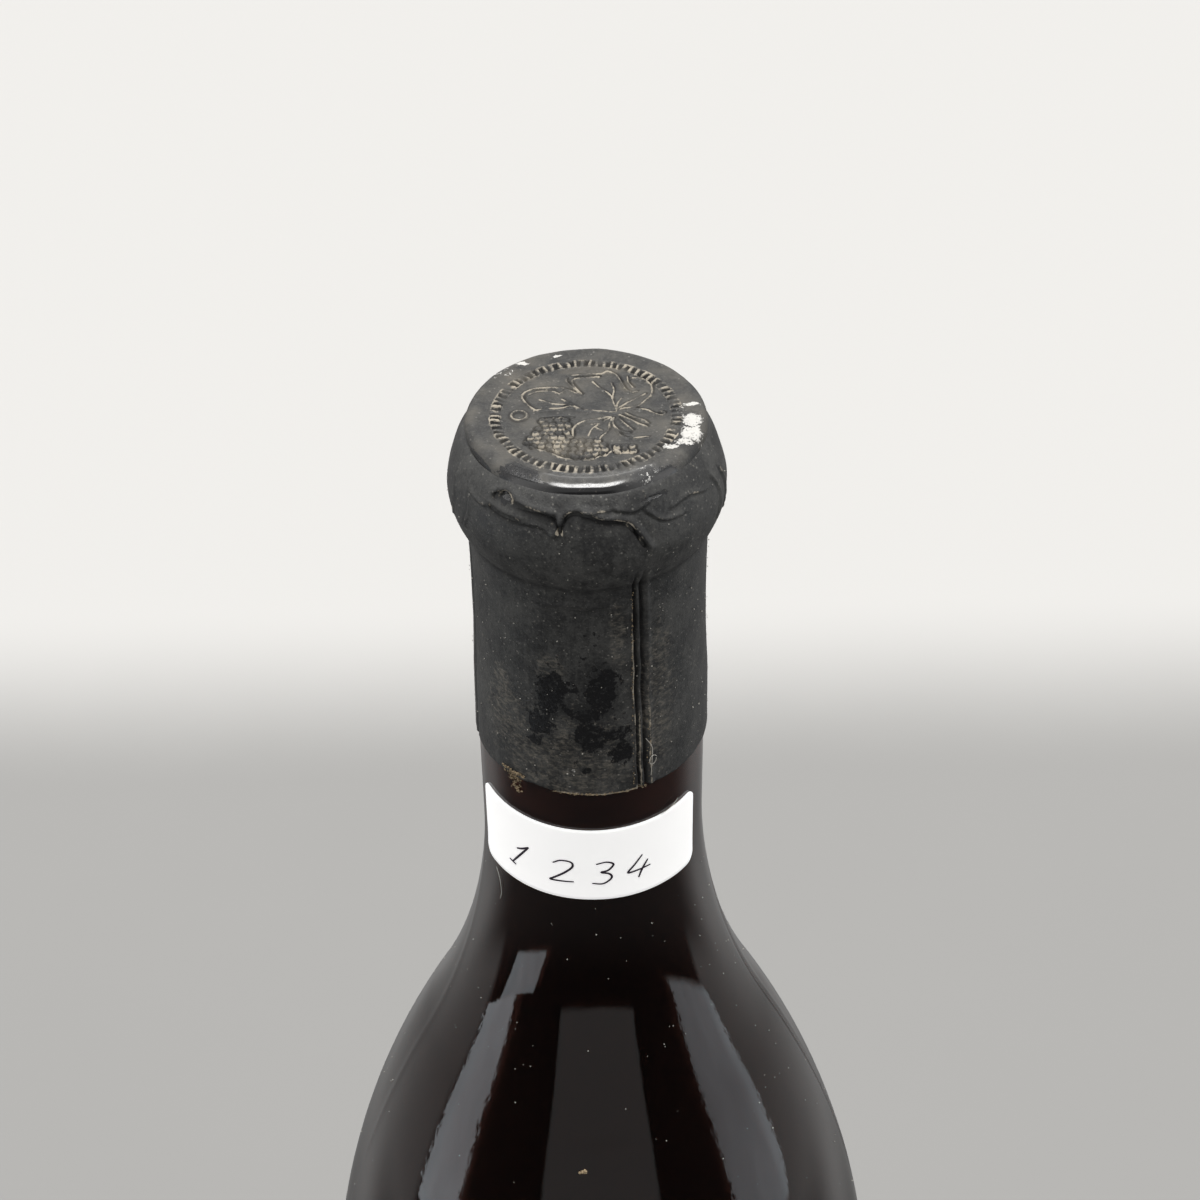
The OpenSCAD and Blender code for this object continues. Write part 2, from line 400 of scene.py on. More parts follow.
class Nodes:
    """A node tree, with one way to add any node to it."""

    def __init__(self, tree):
        self.tree = tree

    def connect(self, value, socket):
        """Links a value to a socket, or sets a plain number or colour on it."""
        if isinstance(value, Value):
            self.tree.links.new(value.socket, socket)
        else:
            socket.default_value = value

    def add(self, kind, settings=None, inputs=None, output=0):
        """Adds a node: its settings first, then the values or links of its sockets."""
        node = self.tree.nodes.new(kind)
        for name, value in (settings or {}).items():
            setattr(node, name, value)
        for key, value in (inputs or {}).items():
            self.connect(value, node.inputs[key])
        return Value(self, node.outputs[output])

    def coordinates(self, output="Object"):
        """The coordinates that a pattern is laid out in."""
        return self.add("ShaderNodeTexCoord", output=output)

    def stretched(self, vector, scale, rotation=(0, 0, 0)):
        """Coordinates turned and stretched for a pattern."""
        return self.add("ShaderNodeMapping", None, {"Vector": vector, "Rotation": rotation, "Scale": scale})

    def axis(self, vector, name):
        """One of the three parts of a vector."""
        return self.add("ShaderNodeSeparateXYZ", None, {0: vector}, name)

    def grain(self, vector, scale, detail=4, roughness=0.6):
        """Noise from 0 to 1, with so many grains to the metre."""
        inputs = {"Vector": vector, "Scale": scale, "Detail": detail, "Roughness": roughness}
        return self.add("ShaderNodeTexNoise", None, inputs)

    def cells(self, vector, scale):
        """Distance to the nearest of many scattered points."""
        return self.add("ShaderNodeTexVoronoi", None, {"Vector": vector, "Scale": scale}, "Distance")

    def field(self, name):
        """A field that the piece's mesh carries."""
        return self.add("ShaderNodeAttribute", {"attribute_name": name}, None, "Fac")

    def mix(self, mask, under, over):
        """One colour laid over another where the mask says."""
        return self.add("ShaderNodeMix", {"data_type": "RGBA"}, {0: mask, 6: under, 7: over}, 2)


class Finish(Nodes):
    """A new material with a Principled shader."""

    def __init__(self, name, **constants):
        self.material = bpy.data.materials.new(name)
        self.material.use_nodes = True
        super().__init__(self.material.node_tree)
        self.shader = self.tree.nodes["Principled BSDF"]
        for key, value in constants.items():
            self.put(key.replace("_", " "), value)

    def put(self, name, value):
        """Sets or links one socket of the shader."""
        self.connect(value, self.shader.inputs[name])

    def bump(self, height, distance, strength=1.0):
        """Puts a fine relief on the surface, with its depth in metres."""
        inputs = {"Height": height, "Distance": distance, "Strength": strength}
        self.put("Normal", self.add("ShaderNodeBump", None, inputs))


def rgba(colour):
    """A colour as a colour socket takes it."""
    return (*colour, 1)


def shade(colour, factor):
    """A colour made darker or lighter."""
    return rgba([part * factor for part in colour])


def glass_finish(colours):
    """Dark red-brown bottle glass with a faint ripple."""
    finish = Finish("bottle_glass", IOR=1.5, Transmission_Weight=1.0)
    place = finish.coordinates()
    cloud = finish.grain(place, 60)
    finish.put("Base Color", finish.mix(cloud, shade(colours.glass, 0.9), shade(colours.glass, 1.1)))
    film = finish.grain(place, 240, 5)
    finish.put("Roughness", film.ramp(0.45, 0.8) * 0.03 + finish.field("inner") * 0.35)
    ripple = finish.grain(finish.stretched(place, (1, 1, 0.35)), 320, 3)
    finish.bump(ripple, 0.00004, 0.35)
    return finish.material


def wine_finish(colours):
    """Clear liquid that takes up nearly all light on its way through."""
    finish = Finish("red_wine", IOR=1.35, Transmission_Weight=1.0, Roughness=0.0)
    depth = finish.axis(finish.coordinates(), "Z").ramp(0.0, 0.25)
    finish.put("Base Color", finish.mix(depth, (0.9, 0.86, 0.86, 1), (1, 0.98, 0.98, 1)))
    body = {"Color": rgba(colours.wine), "Density": 210.0}
    volume = finish.add("ShaderNodeVolumeAbsorption", None, body, "Volume")
    output = finish.tree.nodes["Material Output"]
    finish.connect(volume, output.inputs["Volume"])
    return finish.material


def foil_finish(colours, name, warmth, roughness):
    """Worn charcoal paint on foil: dust, whole black patches, scuffs, dirt and bare metal, with painted
    shade in its grooves and folds and painted highlight on its raised lines.
    """
    finish = Finish(name, Specular_IOR_Level=0.55, Coat_Roughness=0.14)
    place = finish.coordinates()
    drift = finish.grain(place, 260, 5)
    speckle = finish.grain(place, 3400, 4, 0.7)
    crumble = finish.grain(place, 1300, 6, 0.65)
    dots = (0.16 - finish.cells(place, 1150)).ramp(0.0, 0.06)
    dots = dots.most((0.17 - finish.cells(place, 2300)).ramp(0.0, 0.06) * 0.6)
    chips = finish.grain(place, 2300, 5, 0.7).ramp(0.6, 0.64)
    scrape = finish.grain(finish.stretched(place, (1300, 1300, 3000), (0, 0.65, 0)), 1, 4, 0.7)
    streaks = finish.grain(finish.stretched(place, (1, 1, 0.12)), 1500, 3)
    dusty = (drift * 0.4 + speckle * 0.3 + streaks * 0.15 + crumble * 0.15).ramp(0.41, 0.6)
    paint = finish.mix(dusty, rgba(colours.foil), rgba(colours.foil_dusty))
    paint = finish.mix(dots * speckle * 0.6, paint, shade(colours.dust, 0.55))
    # Painted shade: the grooves, hollows, folds and gaps between the teeth are darkened towards black.
    paint = finish.mix(finish.field("painted_shade") * 0.85, paint, rgba(colours.foil_black))
    warm = (finish.field("warm") + (drift - 0.5) * 0.8).ramp(0.15, 0.75)
    paint = finish.mix(warm * warmth, paint, shade(colours.grime_and_highlight, 0.3))
    scuffed = (finish.field("scuff") + (scrape - 0.5) * 2.4 + (crumble - 0.5) * 1.6).ramp(0.1, 1.0)
    paint = finish.mix(scuffed * 0.5, paint, shade(colours.grime_and_highlight, 0.55))
    rusty = (finish.field("rust") + (crumble - 0.5) * 0.6).ramp(0.2, 0.8)
    paint = finish.mix(rusty, paint, rgba(colours.rust))
    # Black paint that is still whole; the same field also paints shade as a black line along each fold and a
    # dark reflection across the front of the rim.
    whole = finish.field("black") + (crumble - 0.5) * 3.6 + (drift - 0.5) * 1.8 + (speckle - 0.5) * 1.2
    whole = whole.ramp(0.0, 0.05)
    whole = whole * (1 - (chips * scrape.ramp(0.5, 0.56)) * 0.9)
    paint = finish.mix(whole, paint, rgba(colours.foil_black))
    # Dirt, and painted highlight on the embossed lines, round the grapes and on the lips of the folds.
    dirt_and_highlight_mask = (finish.field("grime_and_highlight") + (crumble - 0.5) * 1.5 + (speckle - 0.5) * 1.2).ramp(0.25, 0.85)
    paint = finish.mix(dirt_and_highlight_mask, paint, rgba(colours.grime_and_highlight))
    bare = (finish.field("bare") + (crumble - 0.5) * 1.8 + (speckle - 0.5) * 3.2).ramp(0.0, 0.16)
    bare = bare * (1 - chips * 0.85)
    paint = finish.mix(bare, paint, rgba(colours.bare_metal))
    finish.put("Base Color", paint)
    gloss = (finish.field("gloss") + (crumble - 0.5) * 0.5).ramp(0.2, 0.6)
    finish.put("Coat Weight", gloss)
    rough = roughness + dusty * 0.14 * (1 - gloss) - whole * 0.2 - gloss * (roughness - 0.2)
    finish.put("Roughness", rough + dirt_and_highlight_mask * 0.2 + bare * 0.1 + finish.field("painted_shade") * 0.35)
    finish.put("Metallic", bare * 0.45)
    height = drift * 0.3 + crumble * 0.45 + speckle * 0.25
    finish.bump(height * (1 - gloss * 0.93) - whole * 0.12 + bare * 0.5 * crumble, 0.00026, 0.8)
    return finish.material


def glowing_paper_finish(colours):
    """Matt white label paper with a faint fibre, which glows faintly in its own white as painted light."""
    # Painted light: the paper glows a little so that it looks brighter than the lamps make it.
    finish = Finish("glowing_sticker_paper", Emission_Strength=0.4, Emission_Color=rgba(colours.paper))
    place = finish.coordinates()
    fibre = finish.grain(finish.stretched(place, (1, 1, 2.5)), 1400, 5)
    cloud = finish.grain(place, 300)
    finish.put("Base Color", finish.mix(cloud, shade(colours.paper, 0.96), rgba(colours.paper)))
    finish.put("Roughness", 0.62 + fibre * 0.2)
    finish.bump(fibre, 0.00003, 0.4)
    return finish.material


def mottled_finish(name, colour, darkest, scale, roughness):
    """A dull finish whose tone varies from grain to grain."""
    finish = Finish(name)
    spots = finish.grain(finish.coordinates(), scale, 3)
    tone = spots.ramp(0.3, 0.7)
    finish.put("Base Color", finish.mix(tone, shade(colour, darkest), rgba(colour)))
    finish.put("Roughness", roughness - tone * 0.12)
    finish.bump(spots, 0.00004, 0.5)
    return finish.material


def arc(centre, radius, start, end, steps):
    """Points on an arc, from one angle in degrees to another."""
    angles = np.radians(np.linspace(start, end, steps + 1))
    return [(centre[0] + radius * math.cos(a), centre[1] + radius * math.sin(a)) for a in angles]


def smooth_path(points, spacing):
    """A smooth curve through a few points, with its own points about so far apart."""
    known = [np.array(point, float) for point in points]
    known = [2 * known[0] - known[1], *known, 2 * known[-1] - known[-2]]
    path = []
    for before, start, end, after in zip(known, known[1:], known[2:], known[3:]):
        steps = max(1, round(np.linalg.norm(end - start) / spacing))
        for step in range(steps):
            t = step / steps
            path.append(0.5 * (2 * start + (end - before) * t
                               + (2 * before - 5 * start + 4 * end - after) * t ** 2
                               + (3 * start - before - 3 * end + after) * t ** 3))
    path.append(known[-2])
    return [tuple(point) for point in path]


def measure(u, v, path):
    """Distance of many points to a path, and how far to its left they lie."""
    nearest = np.full(u.shape, np.inf)
    offset = np.zeros(u.shape)
    for (start_u, start_v), (end_u, end_v) in zip(path, path[1:]):
        run_u = end_u - start_u
        run_v = end_v - start_v
        length = math.hypot(run_u, run_v)
        along = ((u - start_u) * run_u + (v - start_v) * run_v) / length ** 2
        along = np.clip(along, 0, 1)
        distance = np.hypot(u - start_u - along * run_u, v - start_v - along * run_v)
        side = ((v - start_v) * run_u - (u - start_u) * run_v) / length
        closer = distance < nearest
        nearest = np.where(closer, distance, nearest)
        offset = np.where(closer, side, offset)
    return nearest, offset


def bell(distance, width):
    """1 where the distance is 0, falling away over the width."""
    return np.exp(-(distance / width) ** 2)


def step_up(value, low, high):
    """Rises smoothly from 0 at low to 1 at high."""
    t = np.clip((value - low) / (high - low), 0, 1)
    return t * t * (3 - 2 * t)


def spots(u, v, places):
    """1 in the middle of the nearest spot, 0 at its edge and less outside."""
    field = np.full(u.shape, -1.0)
    for place_u, place_v, half_u, half_v in places:
        field = np.maximum(field, 1 - np.hypot((u - place_u) / half_u, (v - place_v) / half_v))
    return field


def waves(points, scales, seed):
    """Smooth noise at many points, with the length of a wave along each axis."""
    shift = Vector((seed * 7.3, seed * 3.1, seed * 5.7))
    return np.array([noise.noise(Vector(point) + shift) for point in points / np.array(scales)])


def lathe(outline, steps, closed=False):
    """A solid turned about Z from an outline of (radius, height) pairs, with its faces outwards."""
    shape = bmesh.new()
    corners = [shape.verts.new((radius, 0, height)) for radius, height in outline]
    for near, far in zip(corners, corners[1:]):
        shape.edges.new((near, far))
    if closed:
        shape.edges.new((corners[-1], corners[0]))
    bmesh.ops.spin(
        shape, geom=shape.verts[:] + shape.edges[:], cent=(0, 0, 0), axis=(0, 0, 1), dvec=(0, 0, 0),
        angle=2 * math.pi, steps=steps, use_merge=True, use_duplicate=False)
    bmesh.ops.remove_doubles(shape, verts=shape.verts[:], dist=1e-7)
    bmesh.ops.recalc_face_normals(shape, faces=shape.faces[:])
    return shape


def add_piece(name, shape, finish):
    """Puts a finished mesh in the scene as a piece of the bottle."""
    data = bpy.data.meshes.new(name)
    shape.to_mesh(data)
    shape.free()
    data.shade_smooth()
    data.materials.append(finish)
    piece = bpy.data.objects.new(name, data)
    bpy.context.scene.collection.objects.link(piece)
    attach(piece, "root")
    return piece


def corners_mm(data):
    """The corners of a mesh, in millimetres."""
    flat = np.empty(len(data.vertices) * 3)
    data.vertices.foreach_get("co", flat)
    return flat.reshape(-1, 3) / MM


def move_corners(data, points):
    """Moves the corners of a mesh to new places, in millimetres."""
    data.vertices.foreach_set("co", (points * MM).ravel())
    data.update()


def carry_field(data, name, values):
    """Keeps a field on a mesh for its finish to read."""
    layer = data.attributes.new(name, "FLOAT", "POINT")
    layer.data.foreach_set("value", values.astype(np.float32))


def unroll(points):
    """Turn in degrees, drop below the capsule's top and radius of points in millimetres."""
    turn = np.degrees(np.arctan2(points[:, 0], -points[:, 1]))
    return turn, TOP_MM - points[:, 2], np.hypot(points[:, 0], points[:, 1])


def on_axis(turn, radius, height):
    """A place at a turn in degrees, a radius and a height."""
    angle = math.radians(turn)
    return Vector((radius * math.sin(angle), -radius * math.cos(angle), height))


def wall_curves(sizes, inset, fine):
    """Outline of the heel, the body, the shoulder and the foot of the neck, moved inwards."""
    body = sizes.body_radius
    heel = sizes.heel_radius
    neck = sizes.neck_radius
    reach = sizes.flare_radius + sizes.shoulder_radius
    lean = math.acos(1 - (body - neck) / reach)
    flare_height = GLASS_TOP[2] - sizes.flare_depth
    shoulder_height = flare_height - reach * math.sin(lean)
    tilt = math.degrees(lean)
    heel_curve = arc((body - heel, heel), heel - inset, -90, 0, 10)
    body_line = smooth_path([heel_curve[-1], (body - inset, shoulder_height)], 0.006)
    shoulder = sizes.shoulder_radius
    shoulder_curve = arc((body - shoulder, shoulder_height), shoulder - inset, 0, tilt, fine)
    flare = sizes.flare_radius
    flare_curve = arc((neck + flare, flare_height), flare + inset, 180 + tilt, 180, fine)
    return heel_curve + body_line[1:-1] + shoulder_curve + flare_curve[1:]


def neck_outline_radius(sizes, height, inset):
    """Radius of the neck and its foot at a height, moved inwards."""
    depth = GLASS_TOP[2] - sizes.flare_depth - height
    if depth <= 0:
        return sizes.neck_radius - inset
    reach = sizes.flare_radius + inset
    return sizes.neck_radius + sizes.flare_radius - math.sqrt(reach ** 2 - depth ** 2)


def glass_radius_at(sizes, height):
    """Outside radius of the glass at a height above the heel."""
    outline = wall_curves(sizes, 0, 60)
    radii = [point[0] for point in outline]
    heights = [point[1] for point in outline]
    return float(np.interp(height, heights, radii))


def punt_ball(sizes):
    """Centre height and radius of the ball that the hollow under the base is part of."""
    edge = sizes.body_radius - sizes.heel_radius - sizes.rest_width
    radius = (edge ** 2 + sizes.punt_depth ** 2) / (2 * sizes.punt_depth)
    return sizes.punt_depth - radius, radius


def cavity_outline(sizes, inset, level):
    """Outline of what the bottle holds, from the middle of the base up to a level."""
    ball_height, ball = punt_ball(sizes)
    ball += sizes.base_thickness + inset - sizes.wall
    floor_height = sizes.base_thickness + inset - sizes.wall
    meet = math.degrees(math.asin((floor_height - ball_height) / ball))
    hill = arc((0, ball_height), ball, 90, meet, 14)
    walls = [point for point in wall_curves(sizes, inset, 30) if point[1] > floor_height + 0.0002]
    return [(0, hill[0][1])] + hill[1:] + walls + [(sizes.neck_radius - inset, level), (0, level)]


def outside_outline(sizes):
    """Outline of the outside of the glass, from the middle of the base to the middle of the mouth."""
    ball_height, ball = punt_ball(sizes)
    meet = math.degrees(math.asin(-ball_height / ball))
    hollow = arc((0, ball_height), ball, 90, meet, 20)
    neck = sizes.neck_radius
    foot = CAPSULE_FOOT[2]
    top = GLASS_TOP[2]
    # The ring and the mouth, which the capsule hides
    hidden = [(neck, foot + 0.0007), (neck, foot + 0.0015), (neck, foot + 0.0025),
              (neck - 0.0006, foot + 0.0045), (neck - 0.0011, top - 0.016), (neck - 0.0008, top - 0.0125),
              (neck + 0.0006, top - 0.009), (neck + 0.0007, top - 0.006), (neck - 0.0004, top - 0.0035),
              (neck - 0.0012, top - 0.0015), (neck - 0.003, top - 0.0008)]
    return [(0, hollow[0][1])] + hollow[1:] + wall_curves(sizes, 0, 56) + hidden + [(0, top - 0.0008)]


class WINEBOTTLE_OT_glass(bpy.types.Operator):
    """Make the glass: a turned shell with mould seams and a slight waviness"""

    bl_idname = "wine_bottle.glass"
    bl_label = "Glass"

    def execute(self, context):
        sizes = context.scene.wine_bottle_sizes
        shell = lathe(outside_outline(sizes), GLASS_STEPS)
        cavity = lathe(cavity_outline(sizes, sizes.wall, SURFACE), GLASS_STEPS)
        bmesh.ops.reverse_faces(cavity, faces=cavity.faces[:])
        inside = bpy.data.meshes.new("cavity")
        cavity.to_mesh(inside)
        cavity.free()
        inner_from = len(shell.verts)
        shell.from_mesh(inside)
        bpy.data.meshes.remove(inside)
        piece = add_piece("glass_bottle", shell, glass_finish(context.scene.wine_bottle_colours))
        points = corners_mm(piece.data)
        turn, _, radius = unroll(points)
        # The corners crowd together at the two mould seams, which are half a turn apart
        turn = turn - math.degrees(GLASS_CROWDING) * np.sin(2 * np.radians(turn - MOULD_SEAMS[1]))
        outside = np.arange(len(points)) < inner_from
        carry_field(piece.data, "inner", np.where(outside, 0.0, 1.0))
        height = points[:, 2]
        upright = step_up(height, 3, 12) * (1 - step_up(height, 256, 258))
        swell = waves(points, (26, 26, 40), 1) * 0.05 + waves(points, (9, 9, 14), 2) * 0.012
        body = sizes.body_radius / MM
        inward = 0.1 * step_up(radius, body - 2.5, body) + 0.04
        change = swell * (1 - 0.6 * step_up(radius, body - 0.5, body)) - inward
        for seam in MOULD_SEAMS:
            away = np.radians((turn - seam + 180) % 360 - 180) * radius
            change = change + 0.07 * bell(away, 0.7)
        radius = radius + np.where(outside, change * upright, 0)
        radius = np.where(outside, np.minimum(radius, body), radius)
        points[:, 0] = radius * np.sin(np.radians(turn))
        points[:, 1] = -radius * np.cos(np.radians(turn))
        move_corners(piece.data, points)
        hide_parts("glass")
        return {"FINISHED"}


class WINEBOTTLE_OT_wine(bpy.types.Operator):
    """Make the wine, which reaches just into the glass all round"""

    bl_idname = "wine_bottle.wine"
    bl_label = "Wine"

    def execute(self, context):
        sizes = context.scene.wine_bottle_sizes
        outline = cavity_outline(sizes, sizes.wall - WINE_REACH, SURFACE + WINE_REACH)
        shape = lathe(outline, WINE_STEPS)
        piece = add_piece("wine_fill", shape, wine_finish(context.scene.wine_bottle_colours))
        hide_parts("wine")
        return {"FINISHED"}


def bead_places():
    """Middles of the grapes, in staggered rows."""
    places = []
    for row, (height, left, right) in enumerate(BUNCH_ROWS):
        count = int((right - left) / BEAD_STEP) + 1
        for number in range(count):
            places.append((left + number * BEAD_STEP, height + 0.05 * math.sin(3.1 * number + row)))
    return places


def nearest_of(x, y, paths):
    """Distance of many points to the nearest of several smooth paths."""
    return np.minimum.reduce([measure(x, y, smooth_path(path, 0.3))[0] for path in paths])


def disc_relief(x, y, uneven):
    """Height of the embossing, its dirt and painted highlight, and its painted shade, over the disc."""
    outlines = LEAF_EDGES + SMALL_LEAF[:1] + TENDRILS + BUNCH_EDGES
    veins = LEAF_VEINS + SMALL_LEAF[1:]
    line = bell(nearest_of(x, y, outlines), 0.12)
    vein = bell(nearest_of(x, y, veins), 0.1)
    # The foil is drawn down into a groove on the far side of each line, and that side is painted dark as a
    # shadow.
    groove = np.maximum(bell(nearest_of(x - 0.12, y - 0.28, outlines), 0.15),
                        0.85 * bell(nearest_of(x - 0.08, y - 0.22, veins), 0.11))
    beads = np.array(bead_places())
    away = np.hypot(x[:, None] - beads[:, 0], y[:, None] - beads[:, 1])
    nearest = np.argmin(away, axis=1)
    away = away[np.arange(len(x)), nearest]
    below = beads[nearest, 1] - y
    radius = np.hypot(x, y)
    angle = np.arctan2(y, x)
    dot = np.abs(np.hypot(x - DOT_PLACE[0], y - DOT_PLACE[1]) - DOT_RADIUS)
    band = step_up(radius, TEETH_INNER - 0.1, TEETH_INNER + 0.1)
    band = band * (1 - step_up(radius, TEETH_OUTER - 0.1, TEETH_OUTER + 0.1))
    comb = np.cos(TEETH * angle + 0.9 * np.sin(5 * angle) + 2.0 * uneven) * 0.5 + 0.5
    worn = np.clip(0.85 + 1.3 * uneven, 0.3, 1.1)
    teeth = band * step_up(comb, 0.45, 0.8) * worn
    gaps = band * (1 - step_up(comb, 0.15, 0.45)) * worn
    edge = bell(radius - TEETH_OUTER - 0.1, 0.08) + 0.7 * bell(radius - TEETH_INNER + 0.1, 0.08)
    dome = np.clip(1 - (away / BEAD_RADIUS) ** 2, 0, 1)
    ring = bell(dot, 0.13)
    clear = (1 - line) * (1 - vein)
    hollow = bell(away - BEAD_RADIUS - 0.06, 0.12) * (dome < 0.2)
    # Painted highlight: a light ring round each grape, brighter on its lower side.
    rims = bell(away - 0.3, 0.11) * (0.3 + 0.7 * step_up(below, -0.1, 0.2))
    rims = rims * np.clip(0.95 + 2.4 * uneven, 0.2, 1.15)
    height = np.maximum.reduce([line, vein * 0.8, dome, teeth, ring, edge * 0.6 * worn])
    height = height - 1.2 * groove * clear - 1.1 * hollow - 0.9 * gaps
    # Dirt on the embossing, with painted highlight on the raised lines, the teeth and the edges of the
    # milled ring.
    dirt = np.maximum.reduce([line * (0.8 + uneven), vein * (0.7 + uneven), rims * 0.9, ring * 0.75,
                              teeth * 0.66, edge * 0.75 * worn])
    # Painted shade: dark behind the lines, in the hollows round the grapes, between the teeth, outside the
    # plain circle and in the middle of each grape.
    painted_shade = np.maximum.reduce([groove * clear, hollow, gaps, bell(dot - 0.25, 0.15) * 0.8,
                              0.9 * bell(away, 0.13) * clear])
    return height, dirt, painted_shade * (1 - 0.8 * dirt)


class WINEBOTTLE_OT_capsule(bpy.types.Operator):
    """Make the capsule: its embossed disc, and the foil over the ring and down the neck"""

    bl_idname = "wine_bottle.capsule"
    bl_label = "Capsule"

    def execute(self, context):
        sizes = context.scene.wine_bottle_sizes
        colours = context.scene.wine_bottle_colours
        self.make_top(sizes, foil_finish(colours, "capsule_disc_foil", 1.0, 0.4))
        self.make_body(sizes, foil_finish(colours, "capsule_skirt_foil", 0.6, 0.5))
        return {"FINISHED"}

    def rim_place(self, step, facing, foil):
        """Radius and drop of a step round the rim, which is rounder where it faces the front."""
        front = float(step_up(np.array(facing), 0.2, 0.9))
        lift = RIM_LIFT * front
        if step == "foot":
            return RIM_RADIUS - 0.1, 1.6 - lift
        if step == "lip":
            return RIM_RADIUS - 0.35, 1.75 - lift
        if step == "return":
            return RIM_RADIUS - 0.1 - foil, 1.45 - lift
        if step == "under":
            return DISC_RADIUS - 1, DISC_DROP + foil
        part, angle, inset = step
        bend = 0.9 + 0.95 * front
        flat = 1 - 0.42 * front
        start = RIM_RADIUS - bend
        tilt = math.radians(angle)
        radius = start + (bend - inset) * math.cos(tilt) - (1 - part) * (start - DISC_RADIUS)
        rise = RIM_DROP + (1 - part) * (DISC_DROP - RIM_DROP)
        return radius, rise + inset + (bend - inset) * (1 - math.sin(tilt)) * flat

    def make_top(self, sizes, finish):
        """The disc and its rounded rim, down into the crease above the ring."""
        foil = sizes.foil / MM
        shape = bmesh.new()
        bmesh.ops.create_grid(shape, x_segments=200, y_segments=200, size=1)
        for corner in shape.verts:
            x, y = corner.co[:2]
            # Squares of the grid become rings of the disc
            far = max(abs(x), abs(y))
            along = math.pi / 4 * (y / x if abs(x) > abs(y) else x / y) if far else 0
            if abs(x) > abs(y):
                place = (math.copysign(far, x) * math.cos(along), math.copysign(far, x) * math.sin(along))
            else:
                place = (math.copysign(far, y) * math.sin(along), math.copysign(far, y) * math.cos(along))
            corner.co = (place[0] * DISC_RADIUS, place[1] * DISC_RADIUS, TOP_MM - DISC_DROP)
        # Each step out is a part of the flat rim, an angle on its rounding, and a wall's setback
        flats = [(part, 90, 0) for part in (0.3, 0.6, 1.0)]
        rounding = [(1, 90 - 7.5 * step, 0) for step in range(1, 13)]
        back = [(1, 22.5 * step, foil) for step in range(5)]
        edge = [side for side in shape.edges if side.is_boundary]
        for step in flats + rounding + ["foot", "lip", "return"] + back + ["under"]:
            made = bmesh.ops.extrude_edge_only(shape, edges=edge)["geom"]
            edge = [part for part in made if isinstance(part, bmesh.types.BMEdge)]
            for corner in {corner for side in edge for corner in side.verts}:
                flat = corner.co.xy.normalized()
                radius, drop = self.rim_place(step, -flat.y, foil)
                corner.co = (flat.x * radius, flat.y * radius, TOP_MM - drop)
        bmesh.ops.edgeloop_fill(shape, edges=edge)
        bmesh.ops.recalc_face_normals(shape, faces=shape.faces[:])
        bmesh.ops.scale(shape, vec=(MM, MM, MM), verts=shape.verts[:])
        piece = add_piece("capsule_top", shape, finish)
        points = corners_mm(piece.data)
        turn, drop, radius = unroll(points)
        x = points[:, 0]
        y = points[:, 1]
        facing = (drop < DISC_DROP + 0.02) & (radius < DISC_RADIUS + 0.01)
        height, dirt, painted_shade = disc_relief(x, y, waves(points, (1.4, 1.4, 1.4), 12))
        height = np.where(facing, height, 0) * (sizes.emboss / MM)
        dents = waves(points, (2.6, 2.6, 2.6), 3) * 0.035 + waves(points, (7, 7, 7), 4) * 0.05
        rim_wear = step_up(radius, 10.6, 11.6)
        points[:, 2] += np.minimum(height + dents * (1 + rim_wear) - 0.02, DISC_DROP)
        wobble = 1 + rim_wear * (waves(points, (5, 5, 5), 5) * 0.008)
        points[:, 0] *= wobble
        # The disc sits a little towards the back of the ring
        points[:, 1] = points[:, 1] * wobble + DISC_SETBACK * (1 - step_up(drop, 0.9, 1.6))
        move_corners(piece.data, points)
        patchy = 0.9 + 0.9 * waves(points, (3, 3, 3), 6)
        # Dirt with painted highlight, and painted shade, on the face of the disc.
        carry_field(piece.data, "grime_and_highlight", np.where(facing, dirt, 0) * patchy)
        carry_field(piece.data, "painted_shade", np.where(facing, painted_shade, 0))
        carry_field(piece.data, "warm", np.clip(spots(x, y, DISC_WARM_SPOTS), 0.3, 0.5))
        bare = np.clip(spots(x, y, DISC_BARE_SPOTS) * 1.6, -1, 0.7)
        flecks = np.clip(spots(x, y, DISC_FLECK_SPOTS), -1, 0.4) - 0.6
        carry_field(piece.data, "bare", np.maximum(bare, flecks))
        lower_rim = step_up(drop, 0.3, 0.55) * (1 - step_up(np.abs(turn - 4), 30, 52))
        shine = bell(radius - 11.9, 1.3) * (1 - step_up(np.abs(turn - 6), 20, 40))
        carry_field(piece.data, "gloss", np.maximum(shine, lower_rim))
        # Black on the rim: paint, and across the front a painted dark reflection under the highlight.
        dark = spots(turn, drop, RIM_BLACK_SPOTS)
        carry_field(piece.data, "black", np.where(radius > 11.0, np.clip(dark * 4, -2, 2) - 0.3, -2))
        carry_field(piece.data, "scuff", np.full(radius.shape, -1.2))
        carry_field(piece.data, "rust", np.full(radius.shape, -1.0))
        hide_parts("capsule")

    def make_body(self, sizes, finish):
        """The foil over the ring and down the neck to its lower edge."""
        foil = sizes.foil / MM
        outer = smooth_path(RING_OUTLINE, 0.17)[:-1] + smooth_path(SKIRT_OUTLINE, 0.29)
        back = smooth_path(RING_OUTLINE + SKIRT_OUTLINE[1:], 4.0)
        inner = [(radius - foil, drop) for radius, drop in reversed(back)]
        outline = [(radius * MM, (TOP_MM - drop) * MM) for radius, drop in outer + inner]
        shape = lathe(outline, FOIL_STEPS, closed=True)
        piece = add_piece("capsule_body", shape, finish)
        points = corners_mm(piece.data)
        turn, drop, radius = unroll(points)
